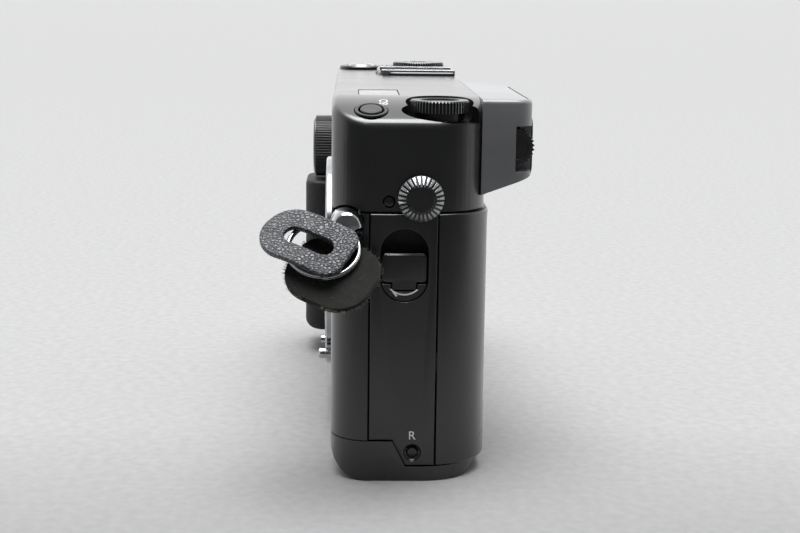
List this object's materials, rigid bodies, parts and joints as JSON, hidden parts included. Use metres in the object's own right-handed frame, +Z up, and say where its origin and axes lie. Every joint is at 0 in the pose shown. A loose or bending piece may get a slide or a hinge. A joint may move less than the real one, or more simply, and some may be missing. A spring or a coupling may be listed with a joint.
{
  "type": "rangefinder camera",
  "caption": "Black autofocus rangefinder camera body for 35 mm film, with hinged back, bayonet lens mount, rear eyepiece and a strap ring with leather guard.",
  "frame": {"origin": "middle of the base on its flat face, halfway between the body's two ends", "axes": "+X towards the viewer's left (latch end), -Y towards the lens side, +Z up"},
  "size_m": [0.1546, 0.0531, 0.078],
  "materials": {
    "black_paint": "satin black baked paint",
    "die_cast": "die-cast, dull",
    "matte_plastic": "moulded, fine texture",
    "rubber": "moulded grip",
    "chrome": "polished",
    "steel": "brushed",
    "glass": "coated glass",
    "lcd": "clear window over a grey display",
    "leather": "grained outside, suede inside",
    "board": "solder mask",
    "cell": "shrink-wrapped can"
  },
  "bodies": {
    "body": {"chassis": "die_cast", "front_cover": "black_paint", "top_cover": "black_paint", "bottom_cover": "black_paint", "side_panel": "black_paint", "grip_rubber": "rubber", "mount_ring": "chrome", "contact_block": "matte_plastic", "viewfinder_block": "matte_plastic", "viewfinder_window": "glass", "af_window_left": "glass", "af_window_right": "glass", "eyepiece_housing": "matte_plastic", "eyepiece_lens": "glass", "eyecup": "rubber", "hot_shoe": "steel", "lcd_window": "lcd", "iso_bezel": "black_paint", "sync_socket": "steel", "cover_screw": "black_paint", "strap_lug_near": "chrome", "strap_lug_far": "chrome", "door_hinge_pin": "steel", "battery_holder": "matte_plastic", "battery_upper": "cell", "battery_lower": "cell", "tripod_socket": "steel", "circuit_board": "board"},
    "door": {"back_door": "black_paint", "film_window": "glass"},
    "film_plate": {"pressure_plate": "steel"},
    "latch": {"latch_disc": "black_paint"},
    "key": {"latch_key": "black_paint"},
    "latch_slider": {"latch_bar": "steel"},
    "diopter": {"diopter_wheel": "matte_plastic"},
    "drive_selector": {"drive_dial": "black_paint"},
    "iso_key": {"iso_button": "black_paint"},
    "release": {"shutter_button": "black_paint"},
    "power_ring": {"power_switch": "black_paint"},
    "speed_dial": {"shutter_dial": "black_paint"},
    "exposure_dial": {"exposure_ring": "black_paint"},
    "focus_wheel": {"focus_dial": "black_paint"},
    "lens_release": {"lens_release_button": "chrome"},
    "lens_lock": {"lens_lock_pin": "chrome"},
    "rewind_key": {"rewind_button": "black_paint"},
    "sync_cover": {"sync_cap": "black_paint"},
    "strap_ring": {"split_ring": "steel", "leather_guard": "leather"},
    "focus_coupling": {"focus_drive_shaft": "steel"},
    "takeup": {"takeup_spool": "matte_plastic"},
    "sprocket": {"film_sprocket": "matte_plastic"},
    "rewind": {"rewind_fork": "steel"},
    "battery_door": {"battery_cap": "black_paint"},
    "blade_1": {"shutter_blade_1": "black_paint"},
    "blade_2": {"shutter_blade_2": "black_paint"},
    "blade_3": {"shutter_blade_3": "black_paint"},
    "blade_4": {"shutter_blade_4": "black_paint"}
  },
  "joints": [
    {"name": "door_swing", "type": "hinge", "parent": "body", "child": "door", "pos_m": [-0.06, 0.0129, 0.0286], "axis": [0, 0, 1], "range_deg": [0, 105]},
    {"name": "pressure_plate_press", "type": "slide", "parent": "door", "child": "film_plate", "axis": [0, 1, 0], "range_m": [0, 0.0005], "stiffness_N_per_m": 800},
    {"name": "latch_turn", "type": "hinge", "parent": "body", "child": "latch", "pos_m": [0.0632, -0.0026, 0.04135], "axis": [-1, 0, 0], "range_deg": [0, 60]},
    {"name": "latch_key_flip", "type": "hinge", "parent": "latch", "child": "key", "pos_m": [0.0656, -0.0026, 0.0398], "axis": [0, 1, 0], "range_deg": [0, 90]},
    {"name": "latch_bar_slide", "type": "slide", "parent": "body", "child": "latch_slider", "axis": [0, 0, -1], "range_m": [0, 0.003]},
    {"name": "diopter_turn", "type": "hinge", "parent": "body", "child": "diopter", "pos_m": [0.058, 0.0193, 0.0667], "axis": [1, 0, 0], "range_deg": [-90, 90]},
    {"name": "drive_dial_turn", "type": "hinge", "parent": "body", "child": "drive_selector", "pos_m": [0.057, 0.0043, 0.0735], "axis": [0, 0, 1], "range_deg": [0, 150]},
    {"name": "iso_press", "type": "slide", "parent": "body", "child": "iso_key", "axis": [0, 0, -1], "range_m": [0, 0.0006], "stiffness_N_per_m": 600},
    {"name": "shutter_press", "type": "slide", "parent": "body", "child": "release", "axis": [0, 0, -1], "range_m": [0, 0.0008], "stiffness_N_per_m": 600},
    {"name": "power_turn", "type": "hinge", "parent": "body", "child": "power_ring", "pos_m": [-0.055, -0.0105, 0.0758], "axis": [0, 0, 1], "range_deg": [0, 60]},
    {"name": "shutter_dial_turn", "type": "hinge", "parent": "body", "child": "speed_dial", "pos_m": [-0.0545, 0.0049, 0.0765], "axis": [0, 0, 1], "range_deg": [-150, 150]},
    {"name": "exposure_turn", "type": "hinge", "parent": "body", "child": "exposure_dial", "pos_m": [-0.0545, 0.0049, 0.0762], "axis": [0, 0, 1], "range_deg": [-60, 60]},
    {"name": "focus_dial_turn", "type": "hinge", "parent": "body", "child": "focus_wheel", "pos_m": [-0.05, -0.02, 0.0555], "axis": [0, 1, 0], "continuous": true},
    {"name": "lens_release_press", "type": "slide", "parent": "body", "child": "lens_release", "axis": [0, 1, 0], "range_m": [0, 0.0006], "stiffness_N_per_m": 600},
    {"name": "lens_lock_slide", "type": "slide", "parent": "body", "child": "lens_lock", "axis": [0, 1, 0], "range_m": [0, 0.0006]},
    {"name": "rewind_press", "type": "slide", "parent": "body", "child": "rewind_key", "axis": [-1, 0, 0], "range_m": [0, 0.0006], "stiffness_N_per_m": 600},
    {"name": "sync_cap_off", "type": "slide", "parent": "body", "child": "sync_cover", "axis": [1, 0, 0], "range_m": [0, 0.01]},
    {"name": "ring_swing", "type": "hinge", "parent": "body", "child": "strap_ring", "pos_m": [0.0693, -0.0139, 0.0518], "axis": [-0.3952, -0.8502, 0.3478], "range_deg": [0, 25]},
    {"name": "focus_shaft_spin", "type": "hinge", "parent": "body", "child": "focus_coupling", "pos_m": [-0.0161, -0.0173, 0.0263], "axis": [0, 1, 0], "continuous": true},
    {"name": "takeup_spin", "type": "hinge", "parent": "body", "child": "takeup", "pos_m": [-0.0345, -0.0006, 0.03], "axis": [0, 0, 1], "continuous": true},
    {"name": "sprocket_spin", "type": "hinge", "parent": "body", "child": "sprocket", "pos_m": [-0.0195, 0.0046, 0.03], "axis": [0, 0, 1], "continuous": true},
    {"name": "rewind_spin", "type": "hinge", "parent": "body", "child": "rewind", "pos_m": [0.049, -0.0006, 0.051], "axis": [0, 0, 1], "continuous": true},
    {"name": "battery_cap_turn", "type": "hinge", "parent": "body", "child": "battery_door", "pos_m": [-0.054, -0.0032, 0.001], "axis": [0, 0, 1], "range_deg": [0, 90]},
    {"name": "blade_4_drop", "type": "slide", "parent": "body", "child": "blade_4", "axis": [0, 0, -1], "range_m": [0, 0.0254]},
    {"name": "blade_3_drop", "type": "slide", "parent": "body", "child": "blade_3", "axis": [0, 0, -1], "range_m": [0, 0.01906]},
    {"name": "blade_2_drop", "type": "slide", "parent": "body", "child": "blade_2", "axis": [0, 0, -1], "range_m": [0, 0.01271]},
    {"name": "blade_1_drop", "type": "slide", "parent": "body", "child": "blade_1", "axis": [0, 0, -1], "range_m": [0, 0.00636]}
  ],
  "couplings": [
    {"joint": "latch_key_flip", "follows": "latch_turn", "ratio": 1.5},
    {"joint": "latch_bar_slide", "follows": "latch_turn", "m_per_rad": 0.002864},
    {"joint": "lens_lock_slide", "follows": "lens_release_press", "ratio": 1},
    {"joint": "blade_3_drop", "follows": "blade_4_drop", "ratio": 0.75},
    {"joint": "blade_2_drop", "follows": "blade_4_drop", "ratio": 0.5},
    {"joint": "blade_1_drop", "follows": "blade_4_drop", "ratio": 0.25}
  ]
}
